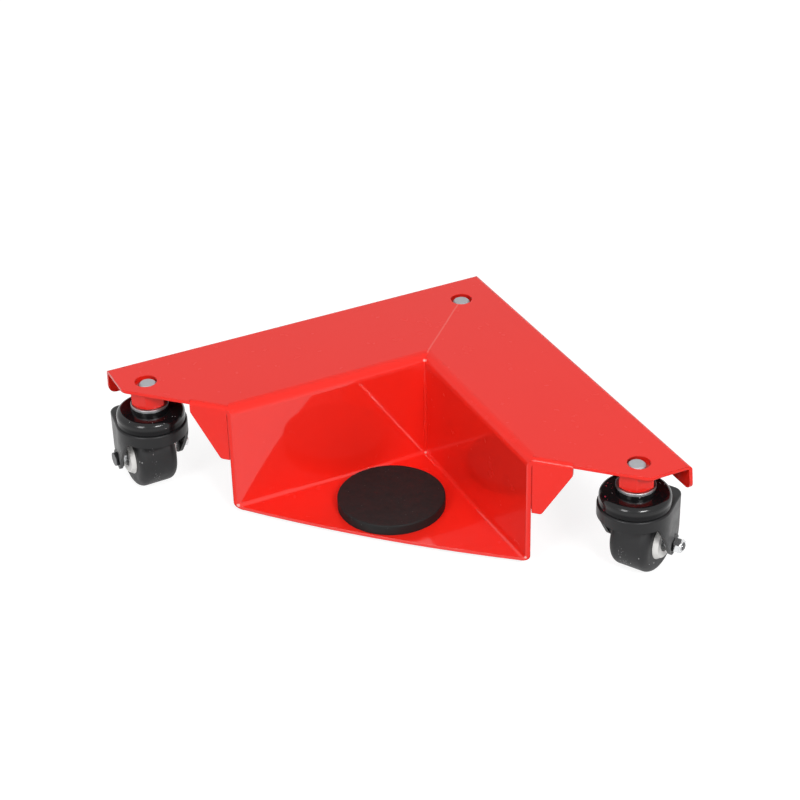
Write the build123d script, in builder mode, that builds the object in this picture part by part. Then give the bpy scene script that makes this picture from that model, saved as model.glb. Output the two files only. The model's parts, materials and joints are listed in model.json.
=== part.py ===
from build123d import *
import math
import os

os.makedirs("parts", exist_ok=True)

# Platform, one folded sheet (mm)
height = 93.0
leg_length = 309.9
tip_cut = 33.8
tip_corner_r = 9.0
wing_width = 94.4
sheet = 2.5
ground_clearance = 5.5
flange_height = 20.6
flange_splay = 1.8
flange_bend_r = 4.0
flange_corner_r = 6.0
wing_bend_r = 7.5
floor_bend_r = 3.0
floor_bow = 5.0
floor_bow_half = 104.0
hole_r = 8.15
hole_inset = 30.1
tip_inset = 19.8

# Gussets folded down at the front edge of the wings
gusset_gap = 0.4
gusset_width = 28.6
gusset_foot = 7.0
gusset_drop = 45.0
gusset_end = 9.0
gusset_bend_r = 3.5
gusset_corner_r = 3.0

# Rubber pad glued into the pocket
pad_gap = 10.1
pad_thickness = 8.0
pad_margin = 1.6
pad_offset = 2.8
pad_edge_r = 1.0

# Casters
wheel_r = 25.5
wheel_width = 30.0
trail = 14.5
nut_offset = 1.4
swing_left = 137.0
swing_right = 75.0
swing_rear = 230.0

# Swivel head
stem_r = 6.35
stem_recess = 1.0
stem_chamfer = 1.0
collar_r = 9.5
collar_thickness = 2.5
rivet_r = 8.0
rivet_thickness = 2.0
weld_nut_flats = 23.5
washer_r = 14.0
washer_thickness = 2.0
cap_r = 25.3
cap_rise = 13.2
cap_neck_r = 14.4
cap_neck_drop = 2.6
cap_shoulder = 4.6
cap_brim = 4.8
cap_race = 1.3
cap_sheet = 2.2
crown_r = 26.5
crown_height = 9.3
crown_edge_r = 1.5
fork_reach = 31.0
fork_taper = 10.0
fork_corner_r = 8.0
fork_sheet = 2.5
fork_bore_r = 8.0
leg_root = 10.0
leg_end_r = 8.2
axle_seat_r = 7.2
upper_ball_r = 2.7
upper_ball_pitch_r = 17.6
upper_ball_count = 16
lower_ball_r = 1.6
lower_ball_pitch_r = 12.0
lower_ball_count = 18
race_groove = 0.6
race_r = 16.2
race_thickness = 1.85

# Axle and wheel
bolt_r = 3.0
bolt_flats = 10.0
bolt_head = 2.8
bolt_tail = 1.6
axle_nut_height = 6.2
sleeve_r = 4.6
bush_r = 7.5
bush_length = 8.0
bush_recess = 3.0
hub_web_r = 5.6
hub_boss_r = 12.3
hub_boss = 3.2
hub_face_r = 14.5
hub_rim_r = 18.0
hub_rim_width = 16.0
tyre_shoulder_r = 6.0

# Clearances
running_fit = 0.05
slip_fit = 0.05
free_gap = 0.3
lip_gap = 0.6
wheel_gap = 0.5

# Places worked out from the dimensions above
root_two = math.sqrt(2)
root_three = math.sqrt(3)
front_depth = (leg_length + tip_cut) / root_two
hole_depth = (leg_length - tip_inset + hole_inset) / root_two
hole_x = (leg_length - tip_inset - hole_inset) / root_two
apex_y = (hole_depth + crown_r - flange_splay * root_two) / 2
front_y = apex_y - front_depth
side_y = apex_y - hole_depth
rear_y = apex_y - hole_inset * root_two
kingpin_x = hole_x - nut_offset
floor_low = ground_clearance
floor_top = floor_low + sheet
wing_low = height - sheet
wall_x = front_depth - wing_width * root_two
wall_edge_x = wall_x + sheet * root_two
pad_room = wall_x + floor_bow - pad_margin - pad_offset - pad_gap * root_two
pad_r = pad_room / (1 + root_two)
rivet_low = 2 * wheel_r + wheel_gap
race_low = rivet_low + rivet_thickness
race_top = race_low + race_thickness
lower_ball_z = race_top - race_groove + lower_ball_r + free_gap
fork_low = lower_ball_z + lower_ball_r + slip_fit
fork_top = fork_low + fork_sheet
crown_low = fork_top - crown_height
upper_ball_z = fork_top - race_groove + upper_ball_r + slip_fit
cap_low = fork_top + lip_gap
cap_top = fork_top + cap_rise
cap_ceiling = cap_top - cap_sheet
washer_top = cap_top + washer_thickness
leg_low = wheel_r - leg_end_r
side_sin = math.sin(math.radians(fork_taper))
side_cos = math.cos(math.radians(fork_taper))
corner_x = fork_reach - fork_corner_r
rear_half = (crown_r - fork_corner_r - corner_x * side_sin) / side_cos
axle_out = (crown_r - trail * side_sin) / side_cos
axle_in = axle_out - fork_sheet
hub_end = wheel_width / 2 + hub_boss
bush_out = hub_end - bush_recess
bush_in = bush_out - bush_length

casters = {
    "left": (-kingpin_x, side_y, swing_left),
    "right": (kingpin_x, side_y, swing_right),
    "rear": (0, rear_y, swing_rear),
}


def hex_nut(plane, flats, length, bore_r):
    # A hexagon with a bore, its far end turned to a cone at the corners
    corner_r = flats / root_three
    bevel = (corner_r - flats / 2) / root_three
    upright = Plane(origin=plane.origin, x_dir=plane.x_dir, z_dir=-plane.y_dir)
    with BuildPart() as nut:
        with BuildSketch(plane):
            RegularPolygon(radius=flats / 2, side_count=6, major_radius=False)
            Circle(bore_r, mode=Mode.SUBTRACT)
        extrude(amount=length)
        with BuildSketch(upright):
            with BuildLine():
                Polyline(
                    (0, 0),
                    (corner_r, 0),
                    (corner_r, length - bevel),
                    (flats / 2, length),
                    (0, length),
                    close=True,
                )
            make_face()
        revolve(axis=Axis(plane.origin, plane.z_dir), mode=Mode.INTERSECT)
    return nut


def ring_of_balls(origin, z, pitch_r, ball_r, count):
    # Loose balls standing in one ring
    with BuildPart(Plane(origin=(origin[0], origin[1], z))) as balls:
        with PolarLocations(pitch_r, count):
            Sphere(ball_r)
    return balls


def fork_block(plane, top, inset):
    # A block with a round front that narrows to a rear with rounded corners
    front_r = crown_r - inset
    rear_x = fork_reach - inset
    tail = (front_r - rear_x * side_sin) / side_cos
    with BuildPart() as block:
        with BuildSketch(plane.offset(top)) as outline:
            Circle(front_r)
            with BuildLine():
                Polyline(
                    (front_r * side_sin, front_r * side_cos),
                    (rear_x, tail),
                    (rear_x, -tail),
                    (front_r * side_sin, -front_r * side_cos),
                    close=True,
                )
            make_face()
            fillet(outline.vertices().sort_by(Axis.X)[-2:], fork_corner_r - inset)
        extrude(amount=leg_low - top)
    return block


def keep(piece, label):
    # Names one finished piece and writes its file
    piece.part.label = label
    export_step(piece.part, f"parts/{label}.step")


# Gusset, an ear bent down from the front edge and cut to a slant
gusset_x = wall_edge_x + gusset_gap
gusset_plane = Plane(origin=(gusset_x, front_y, height), x_dir=(0, 1, 0), z_dir=(1, 0, 0))
with BuildPart() as gusset:
    with BuildSketch(gusset_plane) as fold:
        with BuildLine():
            Polyline(
                (0, 0),
                (2 * gusset_bend_r, 0),
                (2 * gusset_bend_r, -sheet),
                (sheet, -sheet),
                (sheet, -gusset_drop),
                (0, -gusset_drop),
                close=True,
            )
        make_face()
        fillet(fold.vertices().sort_by_distance((0, 0))[0], gusset_bend_r)
        fillet(fold.vertices().sort_by_distance((sheet, -sheet))[0], gusset_bend_r - sheet)
    extrude(amount=gusset_width)
    with BuildSketch(Plane(origin=(gusset_x, front_y, height), x_dir=(1, 0, 0), z_dir=(0, -1, 0))):
        with BuildLine():
            Polyline(
                (gusset_width, -gusset_end),
                (gusset_foot, -gusset_drop),
                (gusset_width, -gusset_drop),
                close=True,
            )
        make_face()
    extrude(amount=-2 * sheet, mode=Mode.SUBTRACT)
    slant_top = (gusset_x + gusset_width, front_y, height - gusset_end)
    slant_foot = (gusset_x + gusset_foot, front_y, height - gusset_drop)
    for corner in (slant_top, slant_foot):
        fillet(gusset.edges().filter_by(Axis.Y).sort_by_distance(corner)[0], gusset_corner_r)

# Platform, half a folded section run along one leg, mitred at the middle and mirrored
leg_plane = Plane(origin=(0, apex_y, height), x_dir=(-1, -1, 0), z_dir=(-1, 1, 0))
depth = height - floor_low
reach = (front_depth + floor_bow) / root_two
folds = {
    (0, 0): flange_bend_r,
    (sheet, -sheet): flange_bend_r - sheet,
    (wing_width, 0): wing_bend_r,
    (wing_width - sheet, -sheet): wing_bend_r - sheet,
    (wing_width, sheet - depth): floor_bend_r,
    (wing_width - sheet, -depth): floor_bend_r + sheet,
}
with BuildPart() as platform:
    with BuildSketch(leg_plane) as section:
        with BuildLine():
            Polyline(
                (-flange_splay, -flange_height),
                (0, 0),
                (wing_width, 0),
                (wing_width, sheet - depth),
                (reach, sheet - depth),
                (reach, -depth),
                (wing_width - sheet, -depth),
                (wing_width - sheet, -sheet),
                (sheet, -sheet),
                (sheet - flange_splay, -flange_height),
                close=True,
            )
        make_face()
        for corner, radius in folds.items():
            fillet(section.vertices().sort_by_distance(corner)[0], radius)
    extrude(amount=-leg_length)
    split(bisect_by=Plane.YZ, keep=Keep.TOP)
    split(bisect_by=Plane(origin=(0, front_y, 0), z_dir=(0, 1, 0)), keep=Keep.TOP)
    tip_x = (leg_length - tip_cut) / root_two
    tip_edge = platform.edges().filter_by(Axis.Z).sort_by_distance((tip_x, front_y, height))[0]
    fillet(tip_edge, tip_corner_r)
    flange_x = (leg_length + flange_splay - sheet / 2) / root_two
    flange_y = apex_y - (leg_length - flange_splay + sheet / 2) / root_two
    flange_corner = (flange_x, flange_y, height - flange_height)
    fillet(platform.edges().sort_by_distance(flange_corner)[0], flange_corner_r)
    with BuildSketch(Plane.XY.offset(height)):
        with Locations((gusset_x, front_y)):
            Rectangle(gusset_width, gusset_bend_r, align=(Align.MIN, Align.MIN))
        with Locations((hole_x, side_y)):
            Circle(hole_r)
        with Locations((0, rear_y)):
            Circle(hole_r)
    extrude(amount=-2 * sheet, mode=Mode.SUBTRACT)
    add(gusset.part)
    with BuildSketch(Plane.XY.offset(floor_low)):
        with BuildLine():
            ThreePointArc(
                (-floor_bow_half, front_y),
                (0, front_y - floor_bow),
                (floor_bow_half, front_y),
            )
            Line((floor_bow_half, front_y), (-floor_bow_half, front_y))
        make_face()
    extrude(amount=sheet)
    mirror(about=Plane.YZ)
keep(platform, "platform")

# Rubber pad, a plain disc with eased edges
with BuildPart() as rubber_pad:
    with BuildSketch(Plane.XY.offset(floor_top)):
        with Locations((-pad_offset, front_y - floor_bow + pad_margin + pad_r)):
            Circle(pad_r)
    extrude(amount=pad_thickness)
    fillet(rubber_pad.edges().group_by(Axis.Z)[-1], pad_edge_r)
keep(rubber_pad, "rubber_pad")

for side, (x, y, swing) in casters.items():
    trail_dir = (math.cos(math.radians(swing)), math.sin(math.radians(swing)), 0)
    across_dir = (-trail_dir[1], trail_dir[0], 0)
    floor_plane = Plane(origin=(x, y, 0), x_dir=trail_dir, z_dir=(0, 0, 1))
    side_plane = Plane(origin=(x, y, 0), x_dir=trail_dir, z_dir=(trail_dir[1], -trail_dir[0], 0))
    swivel_axis = Axis((x, y, 0), (0, 0, 1))
    axle_point = (x + trail * trail_dir[0], y + trail * trail_dir[1], wheel_r)
    wheel_axis = Axis(axle_point, across_dir)
    wheel_plane = Plane(origin=axle_point, x_dir=across_dir, z_dir=trail_dir)
    seat_plane = Plane(origin=axle_point, x_dir=(0, 0, 1), z_dir=across_dir)

    # Weld nut under the wing, its turned end downward
    nut_plane = Plane(origin=(x, y, wing_low), x_dir=(1, 1, 0), z_dir=(0, 0, -1))
    weld_nut = hex_nut(nut_plane, weld_nut_flats, wing_low - washer_top, stem_r + slip_fit)
    keep(weld_nut, f"weld_nut_{side}")

    # Stem, a threaded rod with a collar under the cap and a riveted end
    with BuildPart() as stem:
        with BuildSketch(side_plane):
            with BuildLine():
                Polyline(
                    (0, height - stem_recess),
                    (stem_r - stem_chamfer, height - stem_recess),
                    (stem_r, height - stem_recess - stem_chamfer),
                    (stem_r, cap_ceiling),
                    (collar_r, cap_ceiling),
                    (collar_r, cap_ceiling - collar_thickness),
                    (stem_r, cap_ceiling - collar_thickness),
                    (stem_r, race_low),
                    (rivet_r, race_low),
                    (rivet_r - rivet_thickness / 2, rivet_low),
                    (0, rivet_low),
                    close=True,
                )
            make_face()
        revolve(axis=swivel_axis)
    keep(stem, f"stem_{side}")

    # Zinc washer between nut and cap
    with BuildPart() as washer:
        with BuildSketch(floor_plane.offset(cap_top)):
            Circle(washer_r)
            Circle(stem_r + slip_fit, mode=Mode.SUBTRACT)
        extrude(amount=washer_thickness)
        chamfer(washer.edges().group_by(Axis.Z)[-1].sort_by(SortBy.RADIUS)[-1], washer_thickness / 5)
    keep(washer, f"washer_{side}")

    # Drum-shaped cap, the upper ball race
    neck_low = cap_top - cap_neck_drop
    shoulder_z = cap_low + cap_brim
    slope_z = shoulder_z + cap_shoulder
    race_z = cap_low + cap_race
    with BuildPart() as cap:
        with BuildSketch(side_plane):
            with BuildLine():
                Line((stem_r + slip_fit, cap_ceiling), (stem_r + slip_fit, cap_top))
                Line((stem_r + slip_fit, cap_top), (cap_neck_r, cap_top))
                Line((cap_neck_r, cap_top), (cap_neck_r, neck_low))
                Line((cap_neck_r, neck_low), (cap_r - cap_shoulder, slope_z))
                RadiusArc((cap_r - cap_shoulder, slope_z), (cap_r, shoulder_z), cap_shoulder)
                Line((cap_r, shoulder_z), (cap_r, cap_low))
                Line((cap_r, cap_low), (cap_r - cap_sheet, cap_low))
                Line((cap_r - cap_sheet, cap_low), (cap_r - cap_sheet, race_z))
                Line((cap_r - cap_sheet, race_z), (cap_neck_r - 1.5 * cap_sheet, cap_ceiling))
                Line((cap_neck_r - 1.5 * cap_sheet, cap_ceiling), (stem_r + slip_fit, cap_ceiling))
            make_face()
        revolve(axis=swivel_axis)
    keep(cap, f"cap_{side}")

    # Lower race, a grooved ring held up by the riveted end
    with BuildPart() as lower_race:
        with BuildSketch(side_plane):
            with Locations((stem_r + slip_fit, race_low)):
                Rectangle(race_r - stem_r - slip_fit, race_thickness, align=(Align.MIN, Align.MIN))
            with Locations((lower_ball_pitch_r, lower_ball_z)):
                Circle(lower_ball_r + free_gap, mode=Mode.SUBTRACT)
        revolve(axis=swivel_axis)
    keep(lower_race, f"lower_race_{side}")

    # Two rings of balls
    upper_balls = ring_of_balls((x, y), upper_ball_z, upper_ball_pitch_r, upper_ball_r, upper_ball_count)
    keep(upper_balls, f"upper_balls_{side}")
    lower_balls = ring_of_balls((x, y), lower_ball_z, lower_ball_pitch_r, lower_ball_r, lower_ball_count)
    keep(lower_balls, f"lower_balls_{side}")

    # Fork, a pressed crown that narrows to the rear, and two legs with flat axle seats
    outer = fork_block(floor_plane, fork_top, 0)
    hollow = fork_block(floor_plane, fork_low, fork_sheet)
    with BuildPart() as fork:
        add(outer.part)
        fillet(fork.edges().group_by(Axis.Z)[-1], crown_edge_r)
        with BuildSketch(side_plane):
            with BuildLine():
                Line((-leg_root, crown_low), (fork_reach, crown_low))
            with Locations((trail, wheel_r)):
                Circle(leg_end_r)
            make_hull()
            with Locations((-crown_r, crown_low)):
                Rectangle(crown_r + fork_reach, crown_height, align=(Align.MIN, Align.MIN))
        extrude(amount=2 * crown_r, both=True, mode=Mode.INTERSECT)
        add(hollow.part, mode=Mode.SUBTRACT)
        with BuildSketch(floor_plane.offset(fork_low)):
            Rectangle(2 * fork_reach, 2 * rear_half, align=(Align.MIN, Align.CENTER))
        extrude(amount=leg_low - fork_low, mode=Mode.SUBTRACT)
        with BuildSketch(seat_plane):
            Circle(axle_seat_r)
        extrude(amount=axle_in, both=True, mode=Mode.SUBTRACT)
        for way in (-1, 1):
            with BuildSketch(seat_plane.offset(way * axle_in)):
                Circle(axle_seat_r)
            extrude(amount=way * fork_sheet)
            with BuildSketch(seat_plane.offset(way * axle_out)):
                Circle(axle_seat_r)
            extrude(amount=way * crown_r, mode=Mode.SUBTRACT)
        with BuildSketch(seat_plane):
            Circle(bolt_r + slip_fit)
        extrude(amount=2 * crown_r, both=True, mode=Mode.SUBTRACT)
        with BuildSketch(floor_plane.offset(fork_top)):
            Circle(fork_bore_r)
        extrude(amount=fork_low - fork_top, mode=Mode.SUBTRACT)
        with BuildSketch(side_plane):
            with Locations((upper_ball_pitch_r, upper_ball_z)):
                Circle(upper_ball_r + slip_fit)
        revolve(axis=swivel_axis, mode=Mode.SUBTRACT)
    keep(fork, f"fork_{side}")

    # Axle sleeve clamped between the legs
    with BuildPart() as axle_sleeve:
        with BuildSketch(seat_plane):
            Circle(sleeve_r)
            Circle(bolt_r + slip_fit, mode=Mode.SUBTRACT)
        extrude(amount=axle_in, both=True)
    keep(axle_sleeve, f"axle_sleeve_{side}")

    # Axle bolt, a hexagon head on one leg and a rod through to the other
    head_plane = seat_plane.offset(axle_out)
    head = hex_nut(head_plane, bolt_flats, bolt_head, bolt_r)
    with BuildPart() as axle_bolt:
        add(head.part)
        with BuildSketch(head_plane.offset(bolt_head)):
            Circle(bolt_r)
        extrude(amount=-(bolt_head + 2 * axle_out + axle_nut_height + bolt_tail))
        chamfer(axle_bolt.edges().sort_by(wheel_axis)[0], bolt_r / 4)
    keep(axle_bolt, f"axle_bolt_{side}")

    # Lock nut on the other leg
    nut_at = seat_plane.offset(-axle_out).origin
    axle_nut_plane = Plane(origin=nut_at, x_dir=(0, 0, 1), z_dir=-seat_plane.z_dir)
    axle_nut = hex_nut(axle_nut_plane, bolt_flats, axle_nut_height, bolt_r + slip_fit)
    keep(axle_nut, f"axle_nut_{side}")

    # Hub, a rim with a tapering boss on each side
    with BuildPart() as hub:
        with BuildSketch(wheel_plane):
            with BuildLine():
                Polyline(
                    (0, hub_web_r),
                    (bush_in, hub_web_r),
                    (bush_in, bush_r + slip_fit),
                    (hub_end, bush_r + slip_fit),
                    (hub_end, hub_boss_r),
                    (wheel_width / 2, hub_face_r),
                    (hub_rim_width / 2, hub_face_r),
                    (hub_rim_width / 2, hub_rim_r),
                    (0, hub_rim_r),
                    close=True,
                )
            make_face()
            mirror(about=Plane.YZ)
        revolve(axis=wheel_axis)
    keep(hub, f"hub_{side}")

    # Tyre with rounded shoulders, keyed on the rim
    with BuildPart() as tyre:
        with BuildSketch(wheel_plane) as tread:
            with Locations((0, hub_face_r + slip_fit)):
                Rectangle(wheel_width, wheel_r - hub_face_r - slip_fit, align=(Align.CENTER, Align.MIN))
            fillet(tread.vertices().sort_by(Axis.Y)[-2:], tyre_shoulder_r)
            Rectangle(hub_rim_width, 2 * (hub_rim_r + slip_fit), mode=Mode.SUBTRACT)
        revolve(axis=wheel_axis)
    keep(tyre, f"tyre_{side}")

    # Bushes, one pressed into each end of the hub
    with BuildPart() as bushes:
        for way in (-1, 1):
            with BuildSketch(seat_plane.offset(way * bush_in)):
                Circle(bush_r)
                Circle(sleeve_r + running_fit, mode=Mode.SUBTRACT)
            extrude(amount=way * bush_length)
    keep(bushes, f"bushes_{side}")
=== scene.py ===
"""Looks of the platform dolly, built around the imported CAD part."""

import json
import math
from collections import namedtuple

import bpy
from mathutils import Matrix, Vector


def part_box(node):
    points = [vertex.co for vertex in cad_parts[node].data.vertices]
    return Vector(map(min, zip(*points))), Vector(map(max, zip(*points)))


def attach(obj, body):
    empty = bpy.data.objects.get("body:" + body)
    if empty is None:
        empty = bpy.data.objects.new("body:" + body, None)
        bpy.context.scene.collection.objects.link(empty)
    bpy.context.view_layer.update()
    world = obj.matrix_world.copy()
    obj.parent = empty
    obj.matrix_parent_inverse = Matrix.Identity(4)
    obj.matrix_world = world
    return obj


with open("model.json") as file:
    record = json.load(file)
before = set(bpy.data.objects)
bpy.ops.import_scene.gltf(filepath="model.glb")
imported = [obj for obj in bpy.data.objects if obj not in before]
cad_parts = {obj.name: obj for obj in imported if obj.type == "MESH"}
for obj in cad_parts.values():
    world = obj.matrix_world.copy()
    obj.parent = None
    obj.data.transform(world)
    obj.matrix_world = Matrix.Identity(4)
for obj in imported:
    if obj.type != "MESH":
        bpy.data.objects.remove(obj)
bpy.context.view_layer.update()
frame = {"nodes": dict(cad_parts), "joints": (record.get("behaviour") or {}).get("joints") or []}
nodes = frame["nodes"]
joints = {j["name"]: j for j in frame["joints"]}
SIDES = ("left", "right", "rear")
X, Y, UP = Vector((1, 0, 0)), Vector((0, 1, 0)), Vector((0, 0, 1))
MM = 0.001
ROOT_TWO = math.sqrt(2)
FULL_TURN = 2 * math.pi

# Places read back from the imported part, in metres
top_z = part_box("platform")[1].z
pad_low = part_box("rubber_pad")[0].z
cap_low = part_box("cap_left")[0].z
kingpin = {s: Vector(joints[f"swivel_{s}_turn"]["pos_m"]) for s in SIDES}
axle = {s: Vector(joints[f"wheel_{s}_roll"]["pos_m"]) for s in SIDES}
across = {s: Vector(joints[f"wheel_{s}_roll"]["axis"]) for s in SIDES}

# Sizes of the folded sheet and the axle bolts, as drawn
SHEET = 2.5 * MM
HOLE_INSET = 30.1 * MM
WING_WIDTH = 94.4 * MM
FLOOR_BOW = 5.0 * MM
GUSSET_DROP = 45.0 * MM
BOLT_R = 3.0 * MM

# Corners of the pocket, worked out from these
apex_y = kingpin["rear"].y + HOLE_INSET * ROOT_TWO
pocket_y = apex_y - WING_WIDTH * ROOT_TWO
front_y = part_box("platform")[0].y + FLOOR_BOW
wall_x = pocket_y - front_y
wall_end_x = wall_x + SHEET * ROOT_TWO

# Small helpers for shader nodes
NOISE_ROUGHNESS = 0.55
SPOT_CORE = 0.4


def connect(tree, node, inputs):
    # Links sockets and sets plain values
    for key, value in inputs.items():
        if isinstance(value, bpy.types.NodeSocket):
            tree.links.new(value, node.inputs[key])
        else:
            node.inputs[key].default_value = value


def add(tree, kind, inputs=(), **settings):
    made = tree.nodes.new(kind)
    for key, value in settings.items():
        setattr(made, key, value)
    connect(tree, made, dict(inputs))
    return made


def material(name):
    mat = bpy.data.materials.new(name)
    mat.use_nodes = True
    return mat, mat.node_tree, mat.node_tree.nodes["Principled BSDF"]


def place(tree):
    return add(tree, "ShaderNodeTexCoord").outputs["Object"]


def split(tree, vector):
    return add(tree, "ShaderNodeSeparateXYZ", {"Vector": vector}).outputs


def calc(tree, operation, a, b=0.0):
    return add(tree, "ShaderNodeMath", {0: a, 1: b}, operation=operation).outputs[0]


def times(tree, first, *others):
    for other in others:
        first = calc(tree, "MULTIPLY", first, other)
    return first


def vector_calc(tree, operation, a, b=(0, 0, 0)):
    return add(tree, "ShaderNodeVectorMath", {0: a, 1: b}, operation=operation).outputs


def ramp(tree, value, low, high, to_low=0.0, to_high=1.0, smooth=False):
    inputs = {"Value": value, "From Min": low, "From Max": high}
    inputs.update({"To Min": to_low, "To Max": to_high})
    kind = "SMOOTHSTEP" if smooth else "LINEAR"
    return add(tree, "ShaderNodeMapRange", inputs, interpolation_type=kind).outputs["Result"]


def mix(tree, fac, a, b):
    a, b = (c if isinstance(c, bpy.types.NodeSocket) else (*c, 1.0) for c in (a, b))
    return add(tree, "ShaderNodeMix", {0: fac, 6: a, 7: b}, data_type="RGBA").outputs[2]


def noise(tree, where, scale, detail=3.0):
    inputs = {"Vector": where, "Scale": scale, "Detail": detail, "Roughness": NOISE_ROUGHNESS}
    return add(tree, "ShaderNodeTexNoise", inputs).outputs["Fac"]


def sheen(tree, where, scale, low, high, noise_low=0.3, noise_high=0.7):
    # Roughness that varies from spot to spot between two values
    return ramp(tree, noise(tree, where, scale), noise_low, noise_high, low, high)


def bump(tree, height, distance, under=None):
    inputs = {"Height": height, "Distance": distance}
    if under is not None:
        inputs["Normal"] = under
    return add(tree, "ShaderNodeBump", inputs).outputs["Normal"]


def specks(tree, where, scale, share, size):
    # Sparse round dots: a few cells of a fine cell pattern
    cells = add(tree, "ShaderNodeTexVoronoi", {"Vector": where, "Scale": scale}, feature="F1")
    tint = add(tree, "ShaderNodeSeparateColor", {"Color": cells.outputs["Color"]})
    dot = calc(tree, "LESS_THAN", cells.outputs["Distance"], size)
    return times(tree, dot, calc(tree, "GREATER_THAN", tint.outputs["Red"], 1.0 - share))


def near(tree, where, spot, radius):
    # One at a spot, falling to nothing at its radius
    away = vector_calc(tree, "DISTANCE", where, tuple(spot))["Value"]
    return ramp(tree, away, SPOT_CORE * radius, radius, 1.0, 0.0, True)


def along(tree, where, direction, start):
    # Distance of a point from a plane through start, square to direction
    from_start = vector_calc(tree, "SUBTRACT", where, tuple(start))["Vector"]
    return vector_calc(tree, "DOT_PRODUCT", from_start, tuple(direction))["Value"]


def looked_at(tree):
    # One for what the camera sees, straight, in reflections or through glass
    paths = add(tree, "ShaderNodeLightPath").outputs
    seen = calc(tree, "MAXIMUM", paths["Is Camera Ray"], paths["Is Glossy Ray"])
    return calc(tree, "MAXIMUM", seen, paths["Is Transmission Ray"])


# Red paint: tones, specks (cells per metre, share, size), sheen (scale, low, high), marks, and
# painted highlights and shade
RED = (0.81, 0.0180, 0.0095)
RED_DEEP = (0.78, 0.0160, 0.0085)
RED_WORN = (0.82, 0.060, 0.050)
RED_SEAM = (0.86, 0.170, 0.140)
# Painted light: highlights along the folds and glints at the corners, shade in the stem gaps and
# under the wings
RED_FOLD_HIGHLIGHT = (0.90, 0.150, 0.120)
RED_GLINT_HIGHLIGHT = (0.90, 0.660, 0.620)
RED_GAP_SHADE = (0.10, 0.006, 0.005)
RED_UNDER_SHADE = (0.16, 0.006, 0.005)
TONE_SCALE = 18.0
WORN_SPECKS = (260.0, 0.0015, 0.14)
EDGE_ROUND = 0.7 * MM
WAVE_SCALE, WAVE_DEPTH = 9.0, 0.05 * MM
PAINT_SHEEN = (90.0, 0.255, 0.275)
PAINT_SPECULAR, PAINT_COAT_ROUGH = 0.06, 0.04
DULL_COAT, FULL_COAT = 0.42, 1.0
DULL_UNTIL, FULL_FROM = -1.0 * MM, -0.3 * MM
GAP_R, GAP_DROP = 11 * MM, 0.35 * MM
UNDER_FULL, UNDER_NONE = -0.95, -0.7
SEAM_WANDER_SCALE, SEAM_WANDER = 60.0, 0.5 * MM
SEAM_CORE, SEAM_HALF, SEAM_DEPTH = 0.2 * MM, 0.9 * MM, 0.5 * MM
SEAM_SHARE, SEAM_RISE = 0.5, 0.06 * MM
# Painted highlight along the floor's folds: core, end, lower limit and share
FOLD_HIGHLIGHT_CORE, FOLD_HIGHLIGHT_END, FOLD_HIGHLIGHT_UNDER, FOLD_HIGHLIGHT_SHARE = 1.0 * MM, 1.9 * MM, -0.3 * MM, 0.45
GLINT_SHARE = 0.6
# Painted highlights: spots at the pocket's corners where pale glints are painted, each with its
# radius
glint_z = pad_low + 1 * MM
painted_glint_spots = [
    (Vector((0, pocket_y, top_z - 3.5 * MM)), 1.8 * MM),
    (Vector((0, pocket_y - 2 * MM, glint_z)), 1.2 * MM),
    (Vector((-wall_x, front_y, glint_z)), 1.7 * MM),
    (Vector((wall_x, front_y, glint_z)), 1.2 * MM),
]


def painted_stem_gap_shade(tree, shade, x, y, z):
    # Painted shade: the paint is darkened in the gap between each stem and its hole
    flat_place = add(tree, "ShaderNodeCombineXYZ", {"X": x, "Y": y}).outputs["Vector"]
    sunk = calc(tree, "LESS_THAN", z, top_z - GAP_DROP)
    for s in SIDES:
        spot = Vector((kingpin[s].x, kingpin[s].y, 0))
        shade = mix(tree, times(tree, near(tree, flat_place, spot, GAP_R), sunk), shade, RED_GAP_SHADE)
    return shade


def painted_underside_shade(tree, shade):
    # Painted shade: the paint facing down under the wings is darkened
    facing = split(tree, add(tree, "ShaderNodeTexCoord").outputs["Normal"])["Z"]
    return mix(tree, ramp(tree, facing, UNDER_FULL, UNDER_NONE, 1.0, 0.0), shade, RED_UNDER_SHADE)


def mitre_seam(tree, where, x, y, z):
    # Ground weld line on top, from the pocket's corner to the rear hole
    wander = noise(tree, where, SEAM_WANDER_SCALE)
    wander = ramp(tree, wander, 0.0, 1.0, -SEAM_WANDER, SEAM_WANDER)
    off = calc(tree, "ABSOLUTE", calc(tree, "ADD", x, wander))
    return times(
        tree,
        ramp(tree, off, SEAM_CORE, SEAM_HALF, 1.0, 0.0, True),
        calc(tree, "GREATER_THAN", y, pocket_y),
        calc(tree, "LESS_THAN", y, kingpin["rear"].y),
        calc(tree, "GREATER_THAN", z, top_z - SEAM_DEPTH),
    )


def wall_distance(tree, x, y):
    # Distance from the pocket's nearer wall, positive inside the pocket
    inside = calc(tree, "SUBTRACT", pocket_y, y)
    inside = calc(tree, "SUBTRACT", inside, calc(tree, "ABSOLUTE", x))
    return calc(tree, "DIVIDE", inside, ROOT_TWO)


def painted_fold_highlights(tree, shade, from_wall, z):
    # Painted highlight: a pale line painted along the two folds of the pocket's floor
    above = calc(tree, "SUBTRACT", z, pad_low)
    fold_highlight = times(
        tree,
        ramp(tree, calc(tree, "ADD", from_wall, above), FOLD_HIGHLIGHT_CORE, FOLD_HIGHLIGHT_END, 1.0, 0.0, True),
        calc(tree, "GREATER_THAN", from_wall, FOLD_HIGHLIGHT_UNDER),
        calc(tree, "GREATER_THAN", above, FOLD_HIGHLIGHT_UNDER),
    )
    return mix(tree, times(tree, fold_highlight, FOLD_HIGHLIGHT_SHARE), shade, RED_FOLD_HIGHLIGHT)


def painted_glints(tree, shade, where):
    # Painted highlights: pale glints painted where the folds run out at the pocket's corners
    for spot, radius in painted_glint_spots:
        glint = times(tree, near(tree, where, spot, radius), GLINT_SHARE)
        shade = mix(tree, glint, shade, RED_GLINT_HIGHLIGHT)
    return shade


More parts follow.
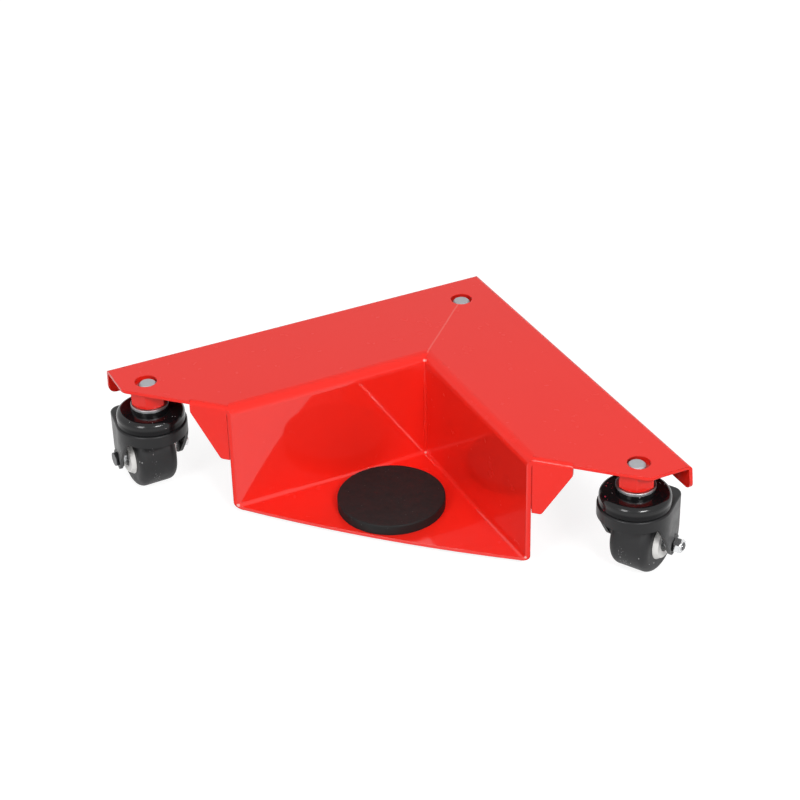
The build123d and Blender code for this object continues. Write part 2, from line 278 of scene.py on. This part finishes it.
def red_paint(name, folded=False):
    # Glossy baked paint: clear reflections over a broad, slight waviness
    mat, tree, bsdf = material(name)
    where = place(tree)
    x, y, z = split(tree, where)
    shade = mix(tree, noise(tree, where, TONE_SCALE), RED, RED_DEEP)
    shade = mix(tree, specks(tree, where, *WORN_SPECKS), shade, RED_WORN)
    # Painted shade in the gap around each stem
    shade = painted_stem_gap_shade(tree, shade, x, y, z)
    rounded = add(tree, "ShaderNodeBevel", {"Radius": EDGE_ROUND}, samples=4).outputs["Normal"]
    normal = bump(tree, noise(tree, where, WAVE_SCALE, detail=1.0), WAVE_DEPTH, rounded)
    connect(tree, bsdf, {
        "Specular IOR Level": PAINT_SPECULAR,
        "Coat Weight": DULL_COAT,
        "Coat Roughness": PAINT_COAT_ROUGH,
    })
    if folded:
        # Painted shade under the wings, then painted highlights along the folds and at the corners
        shade = painted_underside_shade(tree, shade)
        seam = mitre_seam(tree, where, x, y, z)
        shade = mix(tree, times(tree, seam, SEAM_SHARE), shade, RED_SEAM)
        normal = bump(tree, seam, SEAM_RISE, normal)
        from_wall = wall_distance(tree, x, y)
        shade = painted_fold_highlights(tree, shade, from_wall, z)
        shade = painted_glints(tree, shade, where)
        # Full gloss in the sheltered pocket, duller where things rub against it
        gloss = ramp(tree, from_wall, DULL_UNTIL, FULL_FROM, DULL_COAT, FULL_COAT)
        connect(tree, bsdf, {"Coat Weight": gloss})
    connect(tree, bsdf, {
        "Base Color": shade,
        "Roughness": sheen(tree, where, *PAINT_SHEEN),
        "Normal": normal,
        "Coat Normal": normal,
    })
    return mat


# Rubber, plastic and metal
Dots = namedtuple("Dots", "scale share size tone direction start", defaults=(None, None))
DOTS_FADE = 3 * MM
COATED_TONE, COATED_SHEEN, COATED_GRAIN = 55.0, 160.0, 900.0
COATED_SMOOTHER, COATED_ROUGHER = 0.85, 1.15
TREAD, TREAD_PALE = (0.013, 0.013, 0.014), (0.020, 0.020, 0.021)
TREAD_TONE, TREAD_GRAIN, TREAD_PEEL = 60.0, 800.0, 0.05 * MM
TREAD_SHEEN, TREAD_SPECULAR = (120.0, 0.44, 0.58), 0.3
DUST, DUST_PALE = (0.33, 0.33, 0.34), (0.40, 0.40, 0.40)
DUST_SPECKS, LOOSE_SPECKS = (900.0, 0.30, 0.34), (480.0, 0.03, 0.24)
DUST_SHIFT, DUST_CORE, DUST_HALF = 2 * MM, 2 * MM, 5 * MM
PATCH_SCALE, PATCH_NONE, PATCH_FULL = 45.0, 0.47, 0.60
METAL_TONE, METAL_SHEEN, METAL_GRAIN, METAL_PEEL = 240.0, 500.0, 700.0, 0.008 * MM
METAL_SMOOTHER, METAL_ROUGHER = 0.8, 1.2
METAL_NOISE = (0.25, 0.75)


def coated(
    name, tone, deep, rough, peel, coat=0.0, coat_rough=0.04, shine=0.5, matt=None, dots=()
):
    # Two close tones, a varied sheen, a fine grain and a few dots
    mat, tree, bsdf = material(name)
    where = place(tree)
    shade = mix(tree, noise(tree, where, COATED_TONE), tone, deep)
    for kind in dots:
        dot = specks(tree, where, kind.scale, kind.share, kind.size)
        if kind.direction:
            beyond = along(tree, where, kind.direction, kind.start)
            dot = times(tree, dot, ramp(tree, beyond, 0.0, DOTS_FADE))
        shade = mix(tree, dot, shade, kind.tone)
    smoother, rougher = rough * COATED_SMOOTHER, rough * COATED_ROUGHER
    connect(tree, bsdf, {
        "Base Color": shade,
        "Roughness": sheen(tree, where, COATED_SHEEN, smoother, rougher),
        "Normal": bump(tree, noise(tree, where, COATED_GRAIN, detail=4.0), peel),
        "Specular IOR Level": shine,
        "Coat Weight": coat,
        "Coat Roughness": coat_rough,
    })
    if matt:
        # Scuffed dull up to a height, glossy above it
        height = split(tree, where)["Z"]
        connect(tree, bsdf, {"Coat Weight": ramp(tree, height, *matt, 0.0, coat, True)})
    return mat


def rubber_tread(name, side):
    # Tyre rubber with dust caught along the middle of its tread
    mat, tree, bsdf = material(name)
    where = place(tree)
    shade = mix(tree, noise(tree, where, TREAD_TONE), TREAD, TREAD_PALE)
    middle = axle[side] + DUST_SHIFT * across[side]
    off = calc(tree, "ABSOLUTE", along(tree, where, across[side], middle))
    dust = times(
        tree,
        specks(tree, where, *DUST_SPECKS),
        ramp(tree, off, DUST_CORE, DUST_HALF, 1.0, 0.0, True),
        ramp(tree, noise(tree, where, PATCH_SCALE), PATCH_NONE, PATCH_FULL),
    )
    shade = mix(tree, dust, shade, DUST)
    shade = mix(tree, specks(tree, where, *LOOSE_SPECKS), shade, DUST_PALE)
    connect(tree, bsdf, {
        "Base Color": shade,
        "Roughness": sheen(tree, where, *TREAD_SHEEN),
        "Normal": bump(tree, noise(tree, where, TREAD_GRAIN, detail=4.0), TREAD_PEEL),
        "Specular IOR Level": TREAD_SPECULAR,
    })
    return mat


def metal(name, tone, deep, rough, bare=1.0):
    # Plated or blackened steel, all bare or partly under a dull skin
    mat, tree, bsdf = material(name)
    where = place(tree)
    smoother, rougher = rough * METAL_SMOOTHER, rough * METAL_ROUGHER
    connect(tree, bsdf, {
        "Base Color": mix(tree, noise(tree, where, METAL_TONE, detail=4.0), tone, deep),
        "Roughness": sheen(tree, where, METAL_SHEEN, smoother, rougher, *METAL_NOISE),
        "Normal": bump(tree, noise(tree, where, METAL_GRAIN, detail=2.0), METAL_PEEL),
        "Metallic": bare,
    })
    return mat


BLACK, BLACK_PALE = (0.0035, 0.0035, 0.0040), (0.0060, 0.0060, 0.0068)
PAD, PAD_PALE = (0.0070, 0.0068, 0.0068), (0.0120, 0.0115, 0.0115)
SATIN, SATIN_PALE = (0.0070, 0.0070, 0.0078), (0.0110, 0.0110, 0.0118)
HUB, HUB_DEEP = (0.78, 0.77, 0.75), (0.70, 0.69, 0.67)
GREY_DOT, RED_DOT = (0.30, 0.30, 0.30), (0.42, 0.03, 0.06)
red_side = kingpin["right"] - Vector((15 * MM, 0, 0))
pale_side = kingpin["left"] + Vector((8 * MM, -8 * MM, 0))
fine_dots = Dots(600.0, 0.012, 0.28, GREY_DOT)
red_dots = Dots(430.0, 0.30, 0.30, RED_DOT, (-1.0, 0.0, 0.0), red_side)
pale_dots = Dots(700.0, 0.07, 0.24, GREY_DOT, (0.6, -0.8, 0.0), pale_side)
pad_dots = Dots(900.0, 0.012, 0.26, (0.08, 0.08, 0.08))
fork_dots = Dots(700.0, 0.006, 0.26, (0.35, 0.35, 0.35))
hub_dots = Dots(700.0, 0.012, 0.26, (0.35, 0.34, 0.33))
PAD_LOOK = {"rough": 0.62, "peel": 0.06 * MM, "shine": 0.2, "dots": [pad_dots]}
FORK_LOOK = {"rough": 0.36, "peel": 0.03 * MM, "shine": 0.3, "dots": [fork_dots]}
HUB_LOOK = {"rough": 0.42, "peel": 0.04 * MM, "dots": [hub_dots]}
GLOSS = {"rough": 0.22, "peel": 0.02 * MM, "coat": 0.5, "coat_rough": 0.12, "shine": 0.15}
GLOSS["matt"] = (cap_low + 2.5 * MM, cap_low + 5.0 * MM)

looks = {
    "platform": red_paint("red_platform", folded=True),
    "weld_nut": red_paint("red_nut"),
    "rubber_pad": coated("pad_rubber", PAD, PAD_PALE, **PAD_LOOK),
    "stem": metal("zinc_stem", (0.42, 0.43, 0.45), (0.35, 0.36, 0.38), rough=0.50, bare=0.5),
    "washer": metal("zinc_washer", (0.44, 0.44, 0.45), (0.36, 0.36, 0.37), rough=0.42),
    "cap": coated("cap_gloss", BLACK, BLACK_PALE, dots=[fine_dots], **GLOSS),
    "cap_right": coated("cap_gloss_right", BLACK, BLACK_PALE, dots=[fine_dots, red_dots], **GLOSS),
    "cap_left": coated("cap_gloss_left", BLACK, BLACK_PALE, dots=[fine_dots, pale_dots], **GLOSS),
    "fork": coated("fork_satin", SATIN, SATIN_PALE, **FORK_LOOK),
    "axle_bolt": metal("dark_bolt", (0.10, 0.10, 0.105), (0.06, 0.06, 0.065), rough=0.35),
    "axle_nut": metal("zinc_nut", (0.82, 0.83, 0.84), (0.70, 0.71, 0.72), rough=0.18),
    "hub": coated("hub_plastic", HUB, HUB_DEEP, **HUB_LOOK),
    "bearing": metal("bearing_steel", (0.62, 0.63, 0.64), (0.50, 0.51, 0.52), rough=0.28),
}
for s in SIDES:
    looks[f"tyre_{s}"] = rubber_tread(f"tyre_rubber_{s}", s)

for name, piece in nodes.items():
    kind = name if name in looks else name.rsplit("_", 1)[0]
    piece.data.materials.clear()
    piece.data.materials.append(looks.get(kind, looks["bearing"]))

# New pieces, given in the part's frame and riding on one body
BEAD_END, BEAD_SWELL = 0.35, 3.0


def mesh_piece(name, points, faces, mat, body):
    data = bpy.data.meshes.new(name)
    data.from_pydata([tuple(p) for p in points], [], faces)
    data.update()
    for face in data.polygons:
        face.use_smooth = True
    made = bpy.data.objects.new(name, data)
    bpy.context.scene.collection.objects.link(made)
    made.data.materials.append(mat)
    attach(made, body)


def bead(
    name, path, radius, look, body, slot_name,
    ripple=0.0, every=2.2 * MM, around=10, closed=False,
):
    # A round bead along a path, its thickness rippled as a weld's is
    points, faces = [], []
    count = len(path)
    travelled = 0.0
    for i, here in enumerate(path):
        before = path[i - 1] if i or closed else here
        after = path[(i + 1) % count] if i + 1 < count or closed else here
        heading = (after - before).normalized()
        side = heading.orthogonal().normalized()
        other = heading.cross(side)
        if i:
            travelled += (here - path[i - 1]).length
        from_end = min(i, count - 1 - i)
        taper = 1.0 if closed else min(1.0, BEAD_END + BEAD_SWELL * from_end / count)
        r = radius * taper * (1.0 + ripple * math.sin(FULL_TURN * travelled / every))
        for k in range(around):
            turn = FULL_TURN * k / around
            points.append(here + r * (math.cos(turn) * side + math.sin(turn) * other))
    for i in range(count if closed else count - 1):
        a, b = i * around, ((i + 1) % count) * around
        for k in range(around):
            n = (k + 1) % around
            faces.append((a + k, a + n, b + n, b + k))
    if not closed:
        faces.append(tuple(range(around - 1, -1, -1)))
        faces.append(tuple(range((count - 1) * around, count * around)))
    mesh_piece(name, points, faces, looks[look], body)


def run(start, end, count):
    return [start.lerp(end, i / (count - 1)) for i in range(count)]


def ring(middle, radius, first, second, count):
    turns = [FULL_TURN * i / count for i in range(count)]
    return [middle + radius * (math.cos(a) * first + math.sin(a) * second) for a in turns]


def furthest(piece, start, direction):
    # How far a piece reaches from a point in a direction
    return max((Vector(v.co) - start).dot(direction) for v in nodes[piece].data.vertices)


# Weld in the upright inner corner of the pocket
CORNER_R, CORNER_INSET, CORNER_FOOT, CORNER_HEAD = 1.5 * MM, 0.3 * MM, 4 * MM, 7 * MM
CORNER_POINTS = 90
corner_low = Vector((0, pocket_y - CORNER_INSET, pad_low + CORNER_FOOT))
corner_high = Vector((0, pocket_y - CORNER_INSET, top_z - CORNER_HEAD))
path = run(corner_low, corner_high, CORNER_POINTS)
bead("corner_weld", path, CORNER_R, "weld_nut", "base", "red_paint", ripple=0.08)

# Weld behind each gusset, between its edge and the pocket's wall
GUSSET_R, GUSSET_OUT, GUSSET_BEHIND, GUSSET_HEAD = 1.3 * MM, 0.3 * MM, 1.7 * MM, 3.5 * MM
GUSSET_POINTS = 60
for way, s in ((-1, "left"), (1, "right")):
    head_x = way * (wall_end_x + GUSSET_OUT)
    head = Vector((head_x, front_y + GUSSET_BEHIND, top_z - GUSSET_HEAD))
    foot = head - (GUSSET_DROP - GUSSET_HEAD) * UP
    path = run(foot, head, GUSSET_POINTS)
    bead(f"gusset_weld_{s}", path, GUSSET_R, "weld_nut", "base", "red_paint", ripple=0.10)

# Weld around the top of each nut, on the wing's underside
NUT_RING_R, NUT_BEAD_R, NUT_DROP, NUT_POINTS = 12.7 * MM, 1.5 * MM, 0.9 * MM, 120
NUT_RIPPLES = {"ripple": 0.14, "every": 2.6 * MM, "closed": True}
for s in SIDES:
    middle = Vector((kingpin[s].x, kingpin[s].y, top_z - SHEET - NUT_DROP))
    path = ring(middle, NUT_RING_R, X, Y, NUT_POINTS)
    bead(f"nut_weld_{s}", path, NUT_BEAD_R, "weld_nut", "base", "red_paint", **NUT_RIPPLES)

# Thread on the free end of each axle bolt, and the insert collar of its lock nut
THREAD_STEPS, THREAD_R, THREAD_START, THREAD_SHORT = 69, 0.26 * MM, 0.2 * MM, 0.7 * MM
COLLAR_RING_R, COLLAR_BEAD_R, COLLAR_OUT, COLLAR_POINTS = 4.0 * MM, 0.7 * MM, 0.2 * MM, 48
for s in SIDES:
    out = -across[s]
    sideways = UP.cross(out)
    reach = furthest(f"axle_nut_{s}", axle[s], out)
    tail = furthest(f"axle_bolt_{s}", axle[s], out)
    path = []
    for i in range(THREAD_STEPS + 1):
        turn = FULL_TURN * i / THREAD_STEPS
        offset = reach + THREAD_START + (tail - reach - THREAD_SHORT) * i / THREAD_STEPS
        from_axis = BOLT_R * (math.cos(turn) * UP + math.sin(turn) * sideways)
        path.append(axle[s] + out * offset + from_axis)
    bead(f"axle_thread_{s}", path, THREAD_R, "axle_nut", f"swivel_{s}", "zinc", around=6)
    middle = axle[s] + out * (reach + COLLAR_OUT)
    path = ring(middle, COLLAR_RING_R, UP, sideways, COLLAR_POINTS)
    bead(f"nut_collar_{s}", path, COLLAR_BEAD_R, "axle_nut", f"swivel_{s}", "zinc", closed=True)

# Floor, white with a faint shadow to the camera and in reflections, a pale reflector to the rest
WHITE = (1, 1, 1, 1)
FLOOR_HALF = 6.0
FLOOR_PALE, FLOOR_SHADED, FLOOR_ROUGH = (0.60, 0.60, 0.60, 1), (0.30, 0.30, 0.30, 1), 0.9
FLOOR_NEAR, FLOOR_FAR, GLOW_NEAR, GLOW_FAR = 0.5, 2.5, 0.85, 1.0
floor_mat, floor_tree, floor_bsdf = material("floor_white")
connect(floor_tree, floor_bsdf, {"Base Color": FLOOR_PALE, "Roughness": FLOOR_ROUGH})
from_middle = vector_calc(floor_tree, "LENGTH", place(floor_tree))["Value"]
white = ramp(floor_tree, from_middle, FLOOR_NEAR, FLOOR_FAR, GLOW_NEAR, GLOW_FAR, True)
glow = add(floor_tree, "ShaderNodeEmission", {"Color": WHITE, "Strength": white})
shaded = add(floor_tree, "ShaderNodeBsdfDiffuse", {"Color": FLOOR_SHADED})
both = add(floor_tree, "ShaderNodeAddShader", {0: glow.outputs[0], 1: shaded.outputs[0]})
choices = {0: looked_at(floor_tree), 1: floor_bsdf.outputs[0], 2: both.outputs[0]}
chosen = add(floor_tree, "ShaderNodeMixShader", choices).outputs[0]
connect(floor_tree, floor_tree.nodes["Material Output"], {"Surface": chosen})
signs = ((-1, -1), (1, -1), (1, 1), (-1, 1))
corners = [(sx * FLOOR_HALF, sy * FLOOR_HALF, 0) for sx, sy in signs]
floor_data = bpy.data.meshes.new("floor")
floor_data.from_pydata(corners, [], [(0, 1, 2, 3)])
floor = bpy.data.objects.new("floor", floor_data)
bpy.context.scene.collection.objects.link(floor)
floor.data.materials.append(floor_mat)

# World, white to the camera and in reflections, to the rest pale at eye level and dim overhead
SKY_LOW, SKY_HIGH, SKY_PALE, SKY_DIM = 0.25, 0.9, 0.36, 0.08
world = bpy.data.worlds.new("studio")
bpy.context.scene.world = world
world.use_nodes = True
sky = world.node_tree
sky_height = split(sky, add(sky, "ShaderNodeTexCoord").outputs["Generated"])["Z"]
studio = ramp(sky, sky_height, SKY_LOW, SKY_HIGH, SKY_PALE, SKY_DIM, True)
strength = ramp(sky, looked_at(sky), 0.0, 1.0, studio, 1.0)
connect(sky, sky.nodes["Background"], {"Color": WHITE, "Strength": strength})


def softbox(name, at, width, depth, power, mirrored=True):
    # A square-on soft light aimed at the part, kept out of reflections if it is not mirrored
    lamp = bpy.data.lights.new(name, "AREA")
    lamp.shape = "RECTANGLE"
    lamp.size = width
    lamp.size_y = depth
    lamp.energy = power
    made = bpy.data.objects.new(name, lamp)
    made.location = at
    made.visible_glossy = mirrored
    made.rotation_mode = "QUATERNION"
    made.rotation_quaternion = (-Vector(at)).to_track_quat("-Z", "Y")
    bpy.context.scene.collection.objects.link(made)


# The strip lights the pocket's right fold, which its left wall mirrors as a bright line
softbox("back_wall", (-1.0, 3.2, 2.1), width=4.5, depth=3.2, power=15, mirrored=False)
softbox("front_strip", (1.39, -1.41, 1.625), width=0.7, depth=0.24, power=25)
softbox("front_right", (1.35, -1.63, 1.32), width=0.6, depth=0.6, power=7)
softbox("front_left", (-0.57, -2.04, 1.32), width=0.7, depth=1.1, power=22)
softbox("overhead", (0.2, -0.2, 2.4), width=2.4, depth=2.4, power=22.5, mirrored=False)

# Camera at the photo's angle, its seat measured from the rear stem's end
CAMERA_DEGREES = (19.59, 31.79, -1.44)
CAMERA_SEAT = Vector((0.4203, -1.3289, 0.7725))
SENSOR_WIDTH, LENS = 36.0, 92.19
CLIP_START, CLIP_END = 0.05, 50
azimuth, elevation, roll = (math.radians(a) for a in CAMERA_DEGREES)
flat = math.cos(elevation)
right = Vector((math.cos(azimuth), math.sin(azimuth), 0))
back = Vector((math.sin(azimuth) * flat, -math.cos(azimuth) * flat, math.sin(elevation)))
upright = back.cross(right)
tilted_right = math.cos(roll) * right + math.sin(roll) * upright
tilted_up = math.cos(roll) * upright - math.sin(roll) * right
stem_end = Vector((kingpin["rear"].x, kingpin["rear"].y, top_z))
camera_data = bpy.data.cameras.new("camera")
camera_data.sensor_width = SENSOR_WIDTH
camera_data.lens = LENS
camera_data.clip_start = CLIP_START
camera_data.clip_end = CLIP_END
camera = bpy.data.objects.new("camera", camera_data)
bpy.context.scene.collection.objects.link(camera)
turned = Matrix((tilted_right, tilted_up, back)).transposed().to_4x4()
camera.matrix_world = Matrix.Translation(stem_end + CAMERA_SEAT) @ turned
bpy.context.scene.camera = camera
bpy.context.scene.view_settings.view_transform = "Standard"
